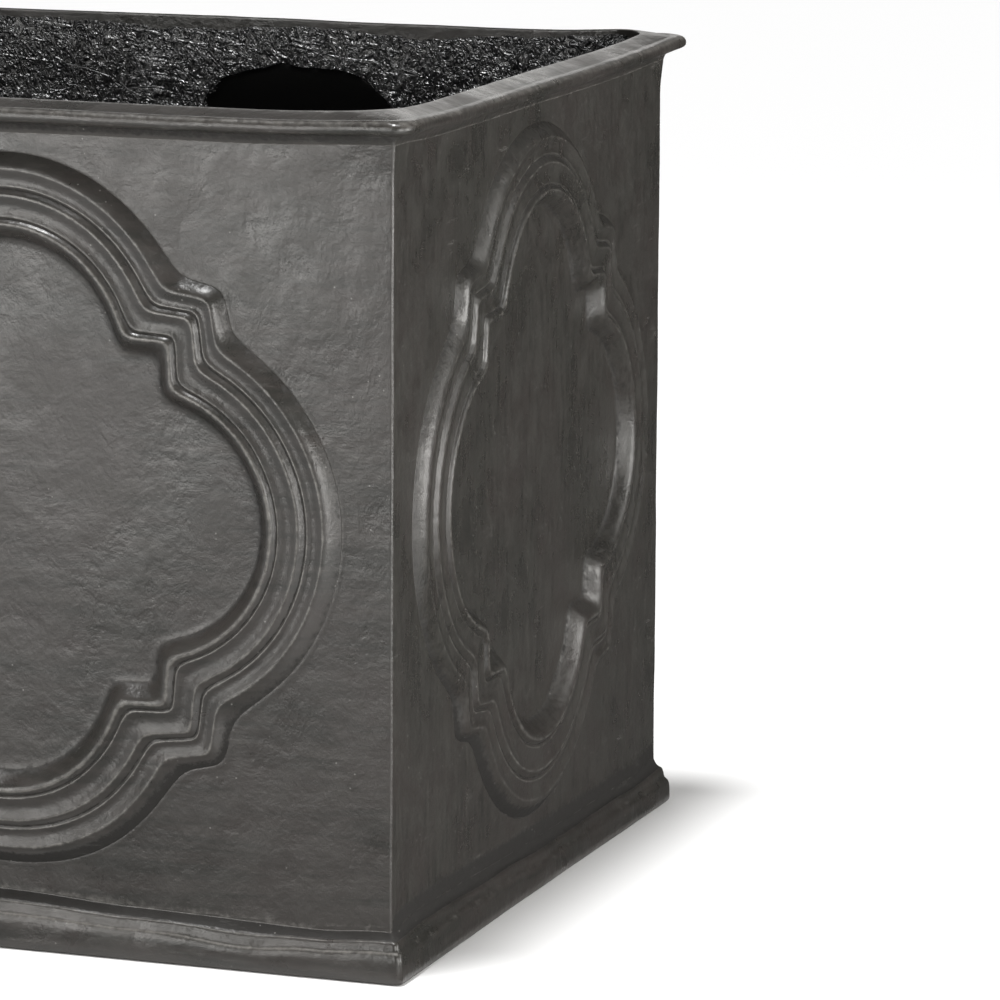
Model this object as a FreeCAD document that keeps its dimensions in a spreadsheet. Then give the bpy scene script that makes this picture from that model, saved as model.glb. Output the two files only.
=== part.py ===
import FreeCAD, Part
import os

import Sketcher

# A trough planter in the style of old cast leadwork, laid up in glass fibre.
# Four relief panels stand on a plinth, carry a flared rim, and are bonded inside with glass mat.
# The origin is on the ground under the middle of the trough, X runs along its length, Z is up.

DRIVING_SIZES = [
    ("wall_length", 892.0, "outside length of the walls, between plinth and rim"),
    ("wall_width", 446.0, "outside width of the walls"),
    ("overall_height", 463.0, "ground to the inner edge of the rim"),
    ("wall_thick", 6.0, "laminate of a wall panel"),
    ("rim_overhang", 11.0, "how far the lip stands out from the wall"),
    ("rim_drop", 4.0, "fall of the rim's top from its inner edge to the lip"),
    ("lip_face", 4.0, "height of the rounded lip"),
    ("lip_round", 3.0, "radius of the lip's round face"),
    ("rim_cove", 8.0, "height of the hollow under the lip"),
    ("rim_cove_round", 12.0, "radius of the hollow under the lip"),
    ("plinth_overhang", 7.0, "how far the plinth stands out from the wall"),
    ("plinth_face", 19.0, "height of the plinth's face"),
    ("plinth_round", 3.0, "radius of the plinth's upper edge"),
    ("plinth_cove", 8.0, "height of the hollow above the plinth"),
    ("plinth_cove_round", 9.0, "radius of the hollow above the plinth"),
    ("ledge_width", 14.0, "inner ledge of the plinth that carries the floor"),
    ("ledge_height", 12.0, "height of that ledge above the ground"),
    ("floor_thick", 6.0, "laminate of the floor panel"),
    ("drain_diameter", 22.0, "drain holes in the floor"),
    ("drain_spacing", 260.0, "distance between neighbouring drain holes"),
    ("lining_thick", 2.5, "glass mat on the inside of the walls and floor"),
    ("lining_drop", 6.0, "bare strip between the rim's inner edge and the top of the mat"),
    ("tape_thick", 1.5, "glass tape over an inner corner"),
    ("tape_leg", 60.0, "width of a tape on each of its two walls"),
    ("tape_drop", 20.0, "distance from the top of the mat to the top of a tape"),
    ("motif_margin", 16.0, "mean bare wall between a quatrefoil and the nearest edge"),
    ("motif_raise", 3.0, "height of a quatrefoil's centre above the middle of the wall"),
    ("lobe_offset", 82.0, "distance of a lobe's centre from the quatrefoil's centre"),
    ("barb_half", 127.0, "half side of the square whose corners show between the lobes"),
    ("barb_narrowing", 0.75, "width of the moulding at a barb, as a part of its width on a lobe"),
    ("flank_run", 10.5, "width of the outer flank of the moulding"),
    ("flank_rise", 5.3, "height of the outer flank"),
    ("tread", 13.0, "width of each of the two hollow bands between the ridges"),
    ("step_run", 2.0, "width of the small step up to the next ridge"),
    ("step_rise", 1.3, "height of that step"),
    ("crest", 3.0, "width of the innermost ridge"),
    ("inner_run", 7.5, "width of the inner flank"),
    ("field_sink", 1.2, "depth of the inner field below the wall's face"),
]
DRAIN_COUNT = 3
CUT_MARGIN = 5.0

doc = FreeCAD.newDocument("trough_planter")
sheet = doc.addObject("Spreadsheet::Sheet", "Sizes")
for row, (alias, number, meaning) in enumerate(DRIVING_SIZES, start=1):
    sheet.set("A%d" % row, meaning)
    sheet.set("B%d" % row, str(number))
    sheet.setAlias("B%d" % row, alias)
doc.recompute()


class Size:
    """A length with its number now and the formula on the sheet that gives it."""

    def __init__(self, number, formula):
        self.number = float(number)
        self.formula = formula

    def __add__(self, other):
        other = as_size(other)
        return Size(self.number + other.number, "(%s + %s)" % (self.formula, other.formula))

    def __sub__(self, other):
        other = as_size(other)
        return Size(self.number - other.number, "(%s - %s)" % (self.formula, other.formula))

    def __mul__(self, other):
        other = as_size(other)
        return Size(self.number * other.number, "(%s * %s)" % (self.formula, other.formula))

    def __truediv__(self, other):
        other = as_size(other)
        return Size(self.number / other.number, "(%s / %s)" % (self.formula, other.formula))

    def __neg__(self):
        return Size(-self.number, "(0 - %s)" % self.formula)


def as_size(value):
    return value if isinstance(value, Size) else Size(value, "%.9g" % value)


def on_sheet(alias):
    return Size(sheet.get(alias), "Sizes." + alias)


def smallest(first, *others):
    for other in others:
        first = Size(min(first.number, other.number), "min(%s; %s)" % (first.formula, other.formula))
    return first


def bind(item, **sizes):
    """Bind properties to the sheet; a double underscore in a keyword stands for a dot."""
    for name, size in sizes.items():
        item.setExpression(name.replace("__", "."), as_size(size).formula)


wall_length = on_sheet("wall_length")
wall_width = on_sheet("wall_width")
overall_height = on_sheet("overall_height")
wall_thick = on_sheet("wall_thick")
rim_overhang = on_sheet("rim_overhang")
rim_drop = on_sheet("rim_drop")
lip_face = on_sheet("lip_face")
rim_cove = on_sheet("rim_cove")
plinth_overhang = on_sheet("plinth_overhang")
plinth_face = on_sheet("plinth_face")
plinth_round = on_sheet("plinth_round")
ledge_width = on_sheet("ledge_width")
ledge_height = on_sheet("ledge_height")
lining_thick = on_sheet("lining_thick")
tape_thick = on_sheet("tape_thick")
tape_leg = on_sheet("tape_leg")

# Levels, from the ground up
wall_foot = plinth_face + on_sheet("plinth_cove")
wall_top = overall_height - rim_drop - lip_face - rim_cove
wall_height = wall_top - wall_foot
floor_top = ledge_height + on_sheet("floor_thick")
lining_top = overall_height - on_sheet("lining_drop")
lining_height = lining_top - floor_top

# Clear space between the walls, and between their linings
inside_length = wall_length - wall_thick * 2
inside_width = wall_width - wall_thick * 2
lined_length = inside_length - lining_thick * 2
lined_width = inside_width - lining_thick * 2

# Each side of the trough: its turn about Z, its outward direction, its length and its distance from the middle
SIDES = {
    "front": (0, (0, -1), wall_length, wall_width / 2, 2),
    "right": (90, (1, 0), wall_width, wall_length / 2, 1),
    "back": (180, (0, 1), wall_length, wall_width / 2, 2),
    "left": (270, (-1, 0), wall_width, wall_length / 2, 1),
}
PANEL_NAMES = {
    "front": "front_panel",
    "right": "right_end_panel",
    "back": "back_panel",
    "left": "left_end_panel",
}
UP = FreeCAD.Vector(0, 0, 1)
ALONG = FreeCAD.Vector(1, 0, 0)
sub_parts = []


def place(item, turn, x, y, z, tilt=0):
    """Put a sub-part in the trough, with its position bound to the sheet."""
    rotation = FreeCAD.Rotation(UP, turn).multiply(FreeCAD.Rotation(ALONG, tilt))
    item.Placement = FreeCAD.Placement(FreeCAD.Vector(), rotation)
    bind(item, Placement__Base__x=x, Placement__Base__y=y, Placement__Base__z=z)


def place_on_side(item, side, z, tilt=0):
    turn, (out_x, out_y), _, distance, _ = SIDES[side]
    place(item, turn, distance * out_x, distance * out_y, z, tilt)


def keep(item, label):
    item.Label = label
    sub_parts.append(item)


def new_sketch(body, name, role):
    sketch = body.newObject("Sketcher::SketchObject", name)
    plane = [feature for feature in body.Origin.OriginFeatures if feature.Role == role][0]
    sketch.AttachmentSupport = [(plane, "")]
    sketch.MapMode = "FlatFace"
    return sketch


def fix_at(sketch, edge, end, x, y):
    """Hold the end of an edge at sheet-bound coordinates."""
    for axis, size in (("X", x), ("Y", y)):
        index = sketch.addConstraint(
            Sketcher.Constraint("Distance" + axis, -1, 1, edge, end, size.number))
        bind(sketch, **{"Constraints[%d]" % index: size})


def arc_through(start, end, radius, turn):
    """The arc of under a half circle from start to end; turn is 1 to the left, -1 to the right."""
    chord = end - start
    to_centre = FreeCAD.Vector(-chord.y, chord.x, 0) * turn
    to_centre.normalize()
    height = max(radius ** 2 - (chord.Length / 2) ** 2, 0) ** 0.5
    centre = (start + end) * 0.5 + to_centre * height
    first, last = (start, end) if turn > 0 else (end, start)
    angles = [ALONG.getAngle(point - centre) for point in (first, last)]
    angles = [
        angle if point.y >= centre.y else -angle
        for angle, point in zip(angles, (first, last))
    ]
    return Part.ArcOfCircle(Part.Circle(centre, UP, radius), *angles)


def add_outline(sketch, corners):
    """Draw a closed outline. A corner is x, y and, where an arc leaves it, its radius and turn."""
    first_edge = sketch.GeometryCount
    corners = [(as_size(corner[0]), as_size(corner[1])) + tuple(corner[2:]) for corner in corners]
    points = [FreeCAD.Vector(corner[0].number, corner[1].number, 0) for corner in corners]
    starts = []
    for index, corner in enumerate(corners):
        start, end = points[index], points[(index + 1) % len(points)]
        if len(corner) == 2:
            sketch.addGeometry(Part.LineSegment(start, end))
            starts.append(1)
        else:
            radius, turn = corner[2:]
            edge = sketch.addGeometry(arc_through(start, end, radius.number, turn))
            hold = sketch.addConstraint(Sketcher.Constraint("Radius", edge, radius.number))
            bind(sketch, **{"Constraints[%d]" % hold: radius})
            starts.append(1 if turn > 0 else 2)
    for index, corner in enumerate(corners):
        edge = first_edge + index
        following = (index + 1) % len(corners)
        sketch.addConstraint(Sketcher.Constraint(
            "Coincident", edge, 3 - starts[index], first_edge + following, starts[following]))
        fix_at(sketch, edge, starts[index], corner[0], corner[1])


def mitred_rail(label, side, corners, reach_out, reach_in, z):
    """A rail of one cross-section along a side, cut at 45 degrees where it meets its neighbours."""
    length = SIDES[side][2]
    body = doc.addObject("PartDesign::Body", label)
    section = new_sketch(body, label + "_section", "YZ_Plane")
    add_outline(section, corners)
    bar = body.newObject("PartDesign::Pad", label + "_bar")
    bar.Profile = section
    bar.SideType = "Symmetric"
    bind(bar, Length=length + (reach_out + CUT_MARGIN) * 2)
    doc.recompute()
    waste = new_sketch(body, label + "_waste", "XY_Plane")
    out = reach_out + CUT_MARGIN
    deep = reach_in + CUT_MARGIN
    for hand in (1, -1):
        add_outline(waste, [
            ((length / 2 + out) * hand, -out),
            ((length / 2 + out) * hand, deep),
            ((length / 2 - deep) * hand, deep),
        ])
    uncut = bar.Shape.Volume
    mitre = body.newObject("PartDesign::Pocket", label + "_mitre")
    mitre.Profile = waste
    mitre.Type = "ThroughAll"
    mitre.SideType = "Symmetric"
    body.Tip = mitre
    place_on_side(body, side, z)
    doc.recompute()
    if mitre.Shape.Volume >= uncut:
        raise RuntimeError(label + " was not mitred")
    keep(body, label)


def rim_section():
    """Rim seen from its end, from the wall's outer face inwards: cove, round lip, sloping top."""
    lip_foot = rim_cove
    lip_head = lip_foot + lip_face
    return [
        (as_size(0), as_size(0), on_sheet("rim_cove_round"), 1),
        (-rim_overhang, lip_foot, on_sheet("lip_round"), -1),
        (-rim_overhang, lip_head),
        (wall_thick, lip_head + rim_drop),
        (wall_thick, as_size(0)),
    ]


def plinth_section():
    """Plinth seen from its end: flat face, rounded edge, cove up to the wall, ledge for the floor."""
    return [
        (-plinth_overhang, as_size(0)),
        (-plinth_overhang, plinth_face - plinth_round, plinth_round, -1),
        (plinth_round - plinth_overhang, plinth_face, on_sheet("plinth_cove_round"), 1),
        (as_size(0), wall_foot),
        (wall_thick, wall_foot),
        (wall_thick, ledge_height),
        (wall_thick + ledge_width, ledge_height),
        (wall_thick + ledge_width, as_size(0)),
    ]


# The quatrefoil: four round lobes, with the corners of a square as barbs between them
motif_half = (smallest(wall_height, wall_length / 2, wall_width) - on_sheet("motif_margin") * 2) / 2
motif_height = wall_height / 2 + on_sheet("motif_raise")
lobe_offset = on_sheet("lobe_offset")
LOBES = [(1, 0), (0, 1), (-1, 0), (0, -1)]


def quatrefoil_block(name, centre_x, low_inset, low, high_inset, high):
    """A block whose outline is the quatrefoil, drawn in by one inset at its low level and another at its high."""
    barb_narrowing = on_sheet("barb_narrowing")

    def lobe_radius(inset):
        return motif_half - lobe_offset - inset

    def barb(inset):
        return on_sheet("barb_half") - inset * barb_narrowing

    square = doc.addObject("Part::Wedge", name + "_square")
    square.Placement = FreeCAD.Placement(FreeCAD.Vector(), FreeCAD.Rotation(ALONG, 90))
    wide, narrow = barb(low_inset), barb(high_inset)
    bind(square, Xmin=-wide, Xmax=wide, Zmin=-wide, Zmax=wide, Ymin=0, Ymax=high - low)
    bind(square, X2min=-narrow, X2max=narrow, Z2min=-narrow, Z2max=narrow)
    bind(square, Placement__Base__x=centre_x, Placement__Base__y=motif_height, Placement__Base__z=low)
    pieces = [square]
    for index, (step_x, step_y) in enumerate(LOBES):
        lobe = doc.addObject("Part::Cone", "%s_lobe%d" % (name, index))
        bind(lobe, Radius1=lobe_radius(low_inset), Radius2=lobe_radius(high_inset), Height=high - low)
        bind(lobe, Placement__Base__x=centre_x + lobe_offset * step_x)
        bind(lobe, Placement__Base__y=motif_height + lobe_offset * step_y, Placement__Base__z=low)
        pieces.append(lobe)
    block = doc.addObject("Part::MultiFuse", name)
    block.Shapes = pieces
    block.Refine = True
    return block


def relief_panel(label, side):
    """A wall panel with mitred ends and a three-ridged quatrefoil moulding in each of its cells."""
    _, _, length, _, cells = SIDES[side]
    slab = doc.addObject("Part::Wedge", label + "_slab")
    slab.Placement = FreeCAD.Placement(FreeCAD.Vector(), FreeCAD.Rotation(ALONG, 90))
    outer, inner = length / 2, length / 2 - wall_thick
    bind(slab, Xmin=-inner, Xmax=inner, X2min=-outer, X2max=outer, Ymin=-wall_thick, Ymax=0)
    bind(slab, Zmin=-wall_height, Zmax=0, Z2min=-wall_height, Z2max=0)
    tread, step_run = on_sheet("tread"), on_sheet("step_run")
    level = [as_size(0), on_sheet("flank_rise")]
    level.append(level[1] + on_sheet("step_rise"))
    level.append(level[2] + on_sheet("step_rise"))
    foot = [as_size(0)]
    head = [on_sheet("flank_run")]
    for _ in range(2):
        foot.append(head[-1] + tread)
        head.append(foot[-1] + step_run)
    field_head = head[-1] + on_sheet("crest")
    field_foot = field_head + on_sheet("inner_run")
    raised, sunk = [slab], []
    for cell in range(cells):
        centre_x = length * ((cell + 0.5) / cells - 0.5)
        name = "%s_cell%d" % (label, cell)
        for step in range(3):
            raised.append(quatrefoil_block(
                "%s_ridge%d" % (name, step), centre_x, foot[step], level[step], head[step], level[step + 1]))
        sunk.append(quatrefoil_block(
            name + "_field", centre_x, field_foot, -on_sheet("field_sink"), field_head, level[3]))
    whole = doc.addObject("Part::MultiFuse", label + "_raised")
    whole.Shapes = raised
    for index, field in enumerate(sunk):
        rest = doc.addObject("Part::Cut", "%s_sunk%d" % (label, index))
        rest.Base, rest.Tool = whole, field
        whole = rest
    place_on_side(whole, side, wall_foot, tilt=90)
    keep(whole, label)


def drained_plate(label, length, width, thickness, z):
    """A flat plate with the row of drain holes along its middle."""
    body = doc.addObject("PartDesign::Body", label)
    outline = new_sketch(body, label + "_outline", "XY_Plane")
    add_outline(outline, [
        (-length / 2, -width / 2),
        (length / 2, -width / 2),
        (length / 2, width / 2),
        (-length / 2, width / 2),
    ])
    plate = body.newObject("PartDesign::Pad", label + "_plate")
    plate.Profile = outline
    bind(plate, Length=thickness)
    doc.recompute()
    ring = new_sketch(body, label + "_ring", "XY_Plane")
    spacing = on_sheet("drain_spacing")
    first = -spacing * ((DRAIN_COUNT - 1) / 2)
    radius = on_sheet("drain_diameter") / 2
    edge = ring.addGeometry(Part.Circle(FreeCAD.Vector(first.number, 0, 0), UP, radius.number))
    hold = ring.addConstraint(Sketcher.Constraint("Radius", edge, radius.number))
    bind(ring, **{"Constraints[%d]" % hold: radius})
    fix_at(ring, edge, 3, first, as_size(0))
    drain = body.newObject("PartDesign::Pocket", label + "_drain")
    drain.Profile = ring
    drain.Type = "ThroughAll"
    drain.SideType = "Symmetric"
    doc.recompute()
    row = body.newObject("PartDesign::LinearPattern", label + "_drains")
    row.Originals = [drain]
    row.Direction = (ring, ["H_Axis"])
    row.Occurrences = DRAIN_COUNT
    bind(row, Length=spacing * (DRAIN_COUNT - 1))
    body.Tip = row
    place(body, 0, as_size(0), as_size(0), z)
    keep(body, label)


def wall_lining(label, side, length, distance):
    """A sheet of glass mat on the inside of one wall and of the rim above it."""
    turn, (out_x, out_y), _, _, _ = SIDES[side]
    mat = doc.addObject("Part::Box", label)
    bind(mat, Length=length, Width=lining_thick, Height=lining_height)
    start = FreeCAD.Rotation(UP, turn).multVec(FreeCAD.Vector(-0.5, 0, 0))
    x = length * round(start.x, 3) + distance * out_x
    y = length * round(start.y, 3) + distance * out_y
    place(mat, turn, x, y, floor_top)
    keep(mat, label)


def corner_tape(label, hand_x, hand_y):
    """A glass tape folded into one inner corner, over the linings."""
    body = doc.addObject("PartDesign::Body", label)
    section = new_sketch(body, label + "_section", "XY_Plane")
    corner_x, corner_y = lined_length / 2, lined_width / 2
    add_outline(section, [
        (corner_x * hand_x, corner_y * hand_y),
        ((corner_x - tape_leg) * hand_x, corner_y * hand_y),
        ((corner_x - tape_leg) * hand_x, (corner_y - tape_thick) * hand_y),
        ((corner_x - tape_thick) * hand_x, (corner_y - tape_thick) * hand_y),
        ((corner_x - tape_thick) * hand_x, (corner_y - tape_leg) * hand_y),
        (corner_x * hand_x, (corner_y - tape_leg) * hand_y),
    ])
    strip = body.newObject("PartDesign::Pad", label + "_strip")
    strip.Profile = section
    bind(strip, Length=lining_height - lining_thick - on_sheet("tape_drop"))
    body.Tip = strip
    place(body, 0, as_size(0), as_size(0), floor_top + lining_thick)
    keep(body, label)


for side in SIDES:
    mitred_rail(side + "_plinth", side, plinth_section(), plinth_overhang, wall_thick + ledge_width, as_size(0))
    relief_panel(PANEL_NAMES[side], side)
    mitred_rail(side + "_rim", side, rim_section(), rim_overhang + lip_face, wall_thick, wall_top)
drained_plate("floor_panel", inside_length, inside_width, on_sheet("floor_thick"), ledge_height)
drained_plate("floor_lining", lined_length, lined_width, lining_thick, floor_top)
for side in ("front", "back"):
    wall_lining(side + "_lining", side, inside_length, inside_width / 2)
for side in ("left", "right"):
    wall_lining(side + "_lining", side, lined_width, inside_length / 2)
for along, hand_x in (("left", -1), ("right", 1)):
    for across, hand_y in (("front", -1), ("back", 1)):
        corner_tape("corner_tape_%s_%s" % (across, along), hand_x, hand_y)

doc.recompute()
for item in doc.Objects:
    if "Invalid" in item.State or "Error" in item.State:
        raise RuntimeError("%s failed: %s" % (item.Name, item.State))
for item in sub_parts:
    if item.Shape.isNull() or not item.Shape.isValid() or len(item.Shape.Solids) != 1:
        raise RuntimeError(item.Label + " is not one valid solid")

os.makedirs("parts", exist_ok=True)
for item in sub_parts:
    item.Shape.exportStep("parts/%s.step" % item.Label)
    print("%-26s %10.0f mm3" % (item.Label, item.Shape.Volume))
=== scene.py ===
import math

import bmesh
import bpy
import numpy as np
from mathutils import Matrix, Vector


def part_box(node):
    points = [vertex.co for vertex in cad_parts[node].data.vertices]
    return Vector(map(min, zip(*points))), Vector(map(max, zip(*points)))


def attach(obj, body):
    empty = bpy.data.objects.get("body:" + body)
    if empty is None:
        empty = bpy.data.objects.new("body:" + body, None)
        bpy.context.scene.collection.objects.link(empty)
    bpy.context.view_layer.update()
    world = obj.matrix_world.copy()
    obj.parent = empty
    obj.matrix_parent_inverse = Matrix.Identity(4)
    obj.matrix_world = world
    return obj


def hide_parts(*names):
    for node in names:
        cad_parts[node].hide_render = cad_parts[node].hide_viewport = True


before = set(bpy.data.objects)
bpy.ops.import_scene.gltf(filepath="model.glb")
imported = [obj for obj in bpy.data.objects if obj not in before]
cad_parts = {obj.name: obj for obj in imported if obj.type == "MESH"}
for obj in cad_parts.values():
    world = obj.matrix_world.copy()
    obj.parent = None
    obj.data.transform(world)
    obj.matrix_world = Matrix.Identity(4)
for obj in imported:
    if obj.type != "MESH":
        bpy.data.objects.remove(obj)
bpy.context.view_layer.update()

bl_info = {
    "name": "Trough planter",
    "version": (1, 0, 0),
    "blender": (4, 5, 0),
    "location": "View3D > Sidebar > Planter",
    "description": "Builds a lead-grey glass fibre trough planter with quatrefoil panels",
    "category": "Object",
}

MM = 0.001
BODY = "root"

# Each side: turn about Z in quarter turns from the front, its long or short run, and its quatrefoils
SIDES = {
    "front": (0, "long", 2),
    "right": (1, "short", 1),
    "back": (2, "long", 2),
    "left": (3, "short", 1),
}
PANEL_NODES = {
    "front": "front_panel",
    "right": "right_end_panel",
    "back": "back_panel",
    "left": "left_end_panel",
}
WELD_DISTANCE = 0.02 * MM
SHELL_CREASE = math.radians(42)
FLOOR_CREASE = math.radians(60)
MAT_CREASE = math.radians(70)


def span(node, axis):
    """How far a node of the frame reaches along an axis."""
    low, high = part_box(node)
    return high[axis] - low[axis]


def length_prop(name, description, default):
    return bpy.props.FloatProperty(
        name=name, description=description, default=default, unit="LENGTH", precision=4)


def colour_prop(name, description, default):
    return bpy.props.FloatVectorProperty(
        name=name, description=description, default=default, subtype="COLOR", size=3, min=0.0, max=1.0)


class PlanterSizes(bpy.types.PropertyGroup):
    """Sizes of the shell, taken from the frame where it gives them."""

    wall_length: length_prop("Wall length", "Outside length of the walls", span("front_panel", 0))
    wall_width: length_prop("Wall width", "Outside width of the walls", span("right_end_panel", 1))
    wall_thick: length_prop("Wall", "Thickness of a wall panel", 6 * MM)
    wall_foot: length_prop("Wall foot", "Height of the wall's lower edge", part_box("front_panel")[0][2])
    wall_top: length_prop("Wall top", "Height of the wall's upper edge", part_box("front_panel")[1][2])
    rim_top: length_prop("Rim top", "Height of the rim's inner edge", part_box("front_rim")[1][2])
    wall_edge: length_prop("Corner edge", "Radius of the upright corner edges", 1.6 * MM)
    rim_edge: length_prop("Rim corner", "Radius of the lip's corners in plan", 11 * MM)
    rim_inner_edge: length_prop("Rim inner corner", "Radius of the rim's inner corners in plan", 26 * MM)
    plinth_edge: length_prop("Plinth corner", "Radius of the plinth's corners in plan", 3.5 * MM)
    corner_lift: length_prop("Corner lift", "How far the rim rises towards its corners", 2.6 * MM)
    corner_flare: length_prop("Corner flare", "How far the rim's corners stand out", 2.2 * MM)
    plinth_wander: length_prop("Plinth wander", "How far the plinth's upper line wanders", 2.6 * MM)
    plinth_lumps: length_prop("Plinth lumps", "How far the folds of the plinth stray", 1.7 * MM)
    waviness: length_prop("Waviness", "Slow hand-laid unevenness of the faces", 0.9 * MM)
    lining_thick: length_prop("Lining", "Mean thickness of the glass mat", span("back_lining", 1))
    drain_spacing: length_prop("Drain spacing", "Distance between the drain holes", 260 * MM)
    drain_radius: length_prop("Drain radius", "Radius of a drain hole", 11 * MM)
    strand_length: length_prop("Strand length", "Length of a loose strand", 13 * MM)
    strand_thick: length_prop("Strand thickness", "Thickness of a loose strand", 0.36 * MM)
    strand_density: bpy.props.FloatProperty(
        name="Strand density", description="Loose strands on a square metre", default=3200.0)


class MotifSizes(bpy.types.PropertyGroup):
    """Sizes of the moulded quatrefoil."""

    margin: length_prop("Margin", "Mean bare wall above and below", 15.5 * MM)
    raised: length_prop("Raised", "Centre above the middle of the wall", 3 * MM)
    lobe_offset: length_prop("Lobe offset", "Lobe centre from the motif's centre", 82 * MM)
    barb_half: length_prop("Barb", "Half side of the square behind the lobes", 127 * MM)
    splay: length_prop("Splay", "How far the foot of a barb stands out beyond its point", 5 * MM)
    stretch: bpy.props.FloatProperty(
        name="Stretch", description="Height of the motif over its width", default=1.016)
    sag: bpy.props.FloatVectorProperty(
        name="Sag", description="Width of the moulding at its sides and at its foot",
        size=2, default=(0.92, 1.1))


class FinishColours(bpy.types.PropertyGroup):
    """Colours of the finishes."""

    lead: colour_prop("Lead grey", "Main colour of the shell", (0.0205, 0.0198, 0.0176))
    lead_warm: colour_prop("Warm stain", "Brownish stain on the shell", (0.030, 0.0262, 0.0240))
    # Rubbed wear, together with painted highlight on crests and edges
    lead_worn_and_highlight: colour_prop("Worn", "Rubbed ridges and edges", (0.142, 0.136, 0.126))
    # Grime, together with painted shade in grooves, coves and under the flanks
    lead_dirt_and_shade: colour_prop("Dirt", "Grime in the hollows", (0.009, 0.0080, 0.0070))
    mat: colour_prop("Flow coat", "Black coat on the glass mat", (0.006, 0.006, 0.0062))
    # Pale glass strands, together with painted glints on the crests of the mat
    mat_strand_and_glint: colour_prop("Flow coat ridges", "Thin coat on the ridges of the mat", (0.22, 0.22, 0.22))
    strand: colour_prop("Glass strand", "Loose strands in the mat", (0.05, 0.05, 0.05))


class StageSizes(bpy.types.PropertyGroup):
    """Camera and light of the studio."""

    focal: bpy.props.FloatProperty(name="Lens", description="Focal length in mm", default=215.0)
    eye: bpy.props.FloatVectorProperty(
        name="Eye", description="Place of the camera",
        default=(1.540, -3.115, 0.834), subtype="TRANSLATION")
    yaw: bpy.props.FloatProperty(
        name="Yaw", description="Turn of the view from straight on", default=0.3434, subtype="ANGLE")
    pitch: bpy.props.FloatProperty(
        name="Pitch", description="Downward tilt of the view", default=0.1828, subtype="ANGLE")
    roll: bpy.props.FloatProperty(
        name="Roll", description="Roll of the view", default=0.0042, subtype="ANGLE")


# Noise

def lattice_value(cells, seed):
    """A fixed value between -1 and 1 for each cell of a lattice."""
    cells = cells.astype(np.int64)
    mixed = cells[:, 0] * 374761393 + cells[:, 1] * 668265263 + cells[:, 2] * 1274126177 + seed * 144269504
    mixed = (mixed ^ (mixed >> 13)) * 1274126177 & 0xFFFFFFFF
    mixed = (mixed ^ (mixed >> 16)) & 0xFFFF
    return mixed / 32767.5 - 1.0


def soft_noise(points, grain, seed):
    """Smooth noise of about the given grain in metres, one value per point."""
    scaled = np.asarray(points) / grain
    base = np.floor(scaled)
    part = scaled - base
    ease = part * part * part * (part * (part * 6 - 15) + 10)
    total = np.zeros(len(scaled))
    for corner in np.ndindex(2, 2, 2):
        corner = np.array(corner)
        weight = np.prod(np.where(corner == 1, ease, 1 - ease), axis=1)
        total += weight * lattice_value(base + corner, seed)
    return total


def smooth_rise(value, start, end):
    part = np.clip((value - start) / (end - start), 0.0, 1.0)
    return part * part * (3 - 2 * part)


# Layers of slow unevenness: grain in metres, share of the waviness, and step of the seed
WAVES = ((0.19, 1.0, 0), (0.052, 0.3, 5), (0.017, 0.11, 9))


def hand_shaped(points):
    """The trough's hand-laid unevenness, as one field so that neighbouring pieces stay together."""
    sizes = bpy.context.scene.planter_sizes
    x, y, z = points.T
    to_end = sizes.wall_length / 2 - np.abs(x)
    to_face = sizes.wall_width / 2 - np.abs(y)
    from_corner = np.hypot(to_end, to_face)
    moved = points.copy()

    on_ground = smooth_rise(z, 2 * MM, 20 * MM)
    for axis, seed in enumerate((11, 23, 37)):
        waves = sum(soft_noise(points, grain, seed + step) * sizes.waviness * share
                    for grain, share, step in WAVES)
        moved[:, axis] += waves * (on_ground if axis == 2 else 1.0)

    near_top = smooth_rise(z, sizes.wall_top - 55 * MM, sizes.wall_top)
    moved[:, 2] += sizes.corner_lift * np.exp(-(from_corner / (45 * MM)) ** 2) * near_top
    at_lip = smooth_rise(z, sizes.wall_top - 20 * MM, sizes.wall_top + 10 * MM)
    flared = np.exp(-(from_corner / (42 * MM)) ** 2) * at_lip
    moved[:, :2] += np.sign(points[:, :2]) * sizes.corner_flare * flared[:, None]

    half_length = sizes.wall_length / 2
    along_front = 1.35 * smooth_rise(to_end, 0.15, 0.235) - np.cos(2 * math.pi * to_end / half_length)
    along_end = -1.3 * y / (sizes.wall_width / 2)
    wander = np.where(to_face < to_end, along_front, along_end) * smooth_rise(from_corner, 4 * MM, 45 * MM)
    near_plinth = smooth_rise(z, 3 * MM, 17 * MM) * (1 - smooth_rise(z, 34 * MM, 100 * MM))
    moved[:, 2] += sizes.plinth_wander * wander * near_plinth

    crest = smooth_rise(z, 3 * MM, 13 * MM) * (1 - smooth_rise(z, 18 * MM, 25 * MM))
    plan = points * (1, 1, 0)
    moved[:, 2] += sizes.plinth_lumps * crest * soft_noise(plan, 0.045, 71)
    facing = np.stack([(to_end < to_face) * np.sign(x), (to_face <= to_end) * np.sign(y)], axis=-1)
    lumps = 0.45 * crest * (soft_noise(plan, 0.03, 73) + 0.5 * soft_noise(points, 0.012, 79))
    lumps = lumps * smooth_rise(from_corner, 4 * MM, 30 * MM)
    moved[:, :2] += sizes.plinth_lumps * facing * lumps[:, None]
    return moved


# Meshes

def is_long(side):
    return SIDES[side][1] == "long"


def side_length(side):
    sizes = bpy.context.scene.planter_sizes
    return sizes.wall_length if is_long(side) else sizes.wall_width


def on_side(side, along, outward, up):
    """Points given along a side, outward from its wall and up, in the planter's own frame."""
    sizes = bpy.context.scene.planter_sizes
    distance = (sizes.wall_width if is_long(side) else sizes.wall_length) / 2
    along, outward, up = np.broadcast_arrays(along, outward, up)
    flat = np.stack([along, -(distance + outward)], axis=-1)
    cos, sin = ((1, 0), (0, 1), (-1, 0), (0, -1))[SIDES[side][0]]
    turned = flat @ np.array([[cos, sin], [-sin, cos]])
    return np.concatenate([turned, up[..., None]], axis=-1)


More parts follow.
